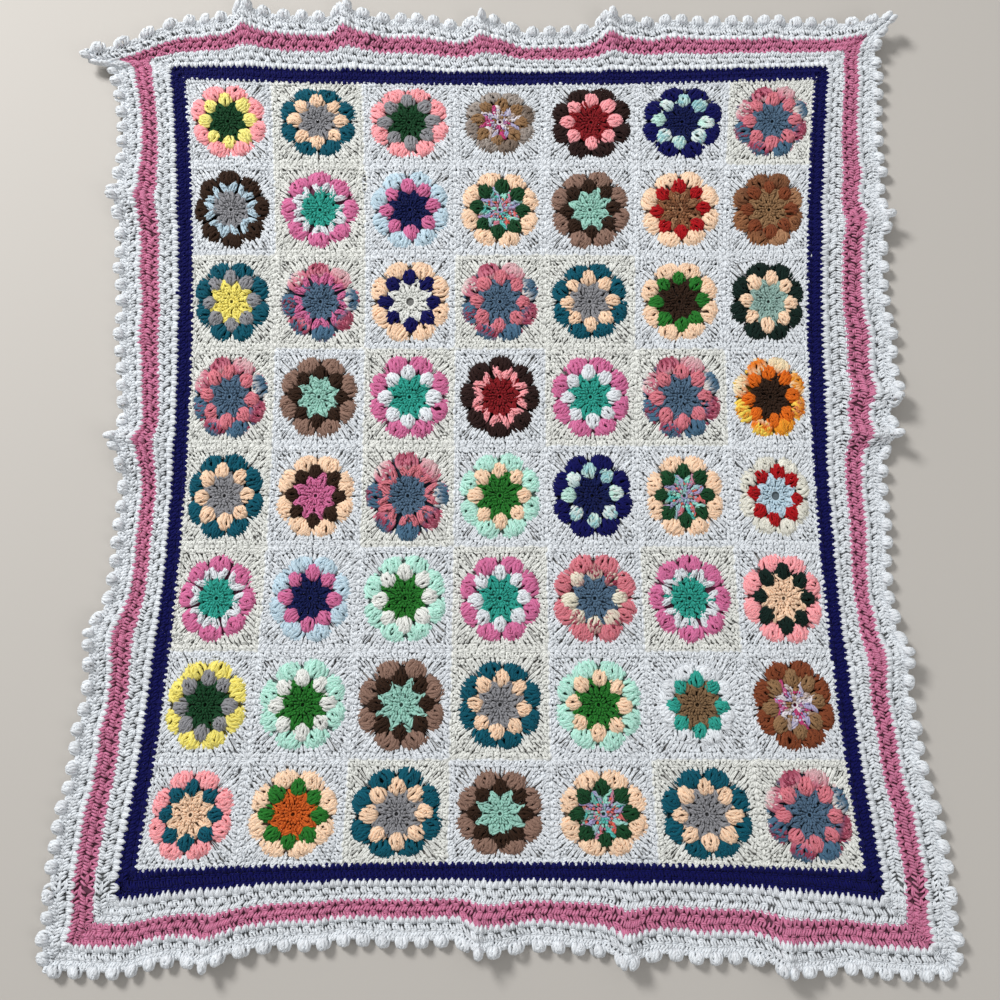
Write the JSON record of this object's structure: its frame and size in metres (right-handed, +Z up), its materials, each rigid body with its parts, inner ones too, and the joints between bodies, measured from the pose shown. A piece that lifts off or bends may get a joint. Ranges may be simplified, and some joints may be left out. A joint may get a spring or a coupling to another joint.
{
  "type": "crocheted throw blanket",
  "caption": "Crocheted throw of joined flower squares with banded borders and a ball edging, lying flat, to cover a bed, a chair or a person.",
  "frame": {"origin": "middle of the underside of the throw as it lies flat, on the surface that it rests on", "axes": "+X across the squares' columns, +Y along the throw towards its top row, +Z up out of the face"},
  "size_m": [1.3884, 1.5614, 0.0405],
  "materials": {
    "black_brown_yarn": "matte",
    "black_green_yarn": "matte",
    "cream_yarn": "matte",
    "dark_brown_yarn": "matte",
    "dusty_rose_yarn": "matte",
    "gray_marl_yarn": "matte",
    "ivory_yarn": "matte",
    "light_peach_yarn": "matte",
    "navy_yarn": "matte",
    "orange_yarn": "matte",
    "pale_blue_yarn": "matte",
    "pale_mint_yarn": "matte",
    "peach_yarn": "matte",
    "pink_yarn": "matte",
    "rose_pink_yarn": "matte",
    "rust_yarn": "matte",
    "salmon_pink_yarn": "matte",
    "slate_yarn": "matte",
    "taupe_yarn": "matte",
    "teal_yarn": "matte",
    "white_yarn": "matte",
    "yellow_yarn": "matte"
  },
  "bodies": {
    "root": {"granny_square_r1_c1": "salmon_pink_yarn", "granny_square_r1_c2": "teal_yarn", "granny_square_r1_c3": "salmon_pink_yarn", "granny_square_r1_c4": "gray_marl_yarn", "granny_square_r1_c5": "black_brown_yarn", "granny_square_r1_c6": "navy_yarn", "granny_square_r1_c7": "slate_yarn", "granny_square_r2_c1": "dark_brown_yarn", "granny_square_r2_c2": "rose_pink_yarn", "granny_square_r2_c3": "pale_blue_yarn", "granny_square_r2_c4": "peach_yarn", "granny_square_r2_c5": "taupe_yarn", "granny_square_r2_c6": "light_peach_yarn", "granny_square_r2_c7": "gray_marl_yarn", "granny_square_r3_c1": "teal_yarn", "granny_square_r3_c2": "slate_yarn", "granny_square_r3_c3": "peach_yarn", "granny_square_r3_c4": "slate_yarn", "granny_square_r3_c5": "teal_yarn", "granny_square_r3_c6": "peach_yarn", "granny_square_r3_c7": "black_green_yarn", "granny_square_r4_c1": "slate_yarn", "granny_square_r4_c2": "taupe_yarn", "granny_square_r4_c3": "rose_pink_yarn", "granny_square_r4_c4": "black_brown_yarn", "granny_square_r4_c5": "rose_pink_yarn", "granny_square_r4_c6": "slate_yarn", "granny_square_r4_c7": "orange_yarn", "granny_square_r5_c1": "teal_yarn", "granny_square_r5_c2": "peach_yarn", "granny_square_r5_c3": "slate_yarn", "granny_square_r5_c4": "pale_mint_yarn", "granny_square_r5_c5": "navy_yarn", "granny_square_r5_c6": "peach_yarn", "granny_square_r5_c7": "ivory_yarn", "granny_square_r6_c1": "rose_pink_yarn", "granny_square_r6_c2": "pale_blue_yarn", "granny_square_r6_c3": "pale_mint_yarn", "granny_square_r6_c4": "rose_pink_yarn", "granny_square_r6_c5": "dusty_rose_yarn", "granny_square_r6_c6": "rose_pink_yarn", "granny_square_r6_c7": "salmon_pink_yarn", "granny_square_r7_c1": "yellow_yarn", "granny_square_r7_c2": "pale_mint_yarn", "granny_square_r7_c3": "taupe_yarn", "granny_square_r7_c4": "teal_yarn", "granny_square_r7_c5": "pale_mint_yarn", "granny_square_r7_c6": "white_yarn", "granny_square_r7_c7": "rust_yarn", "granny_square_r8_c1": "salmon_pink_yarn", "granny_square_r8_c2": "light_peach_yarn", "granny_square_r8_c3": "teal_yarn", "granny_square_r8_c4": "taupe_yarn", "granny_square_r8_c5": "peach_yarn", "granny_square_r8_c6": "teal_yarn", "granny_square_r8_c7": "slate_yarn", "navy_border": "navy_yarn", "inner_white_border": "white_yarn", "pink_border": "pink_yarn", "outer_white_border": "white_yarn"}
  },
  "joints": []
}
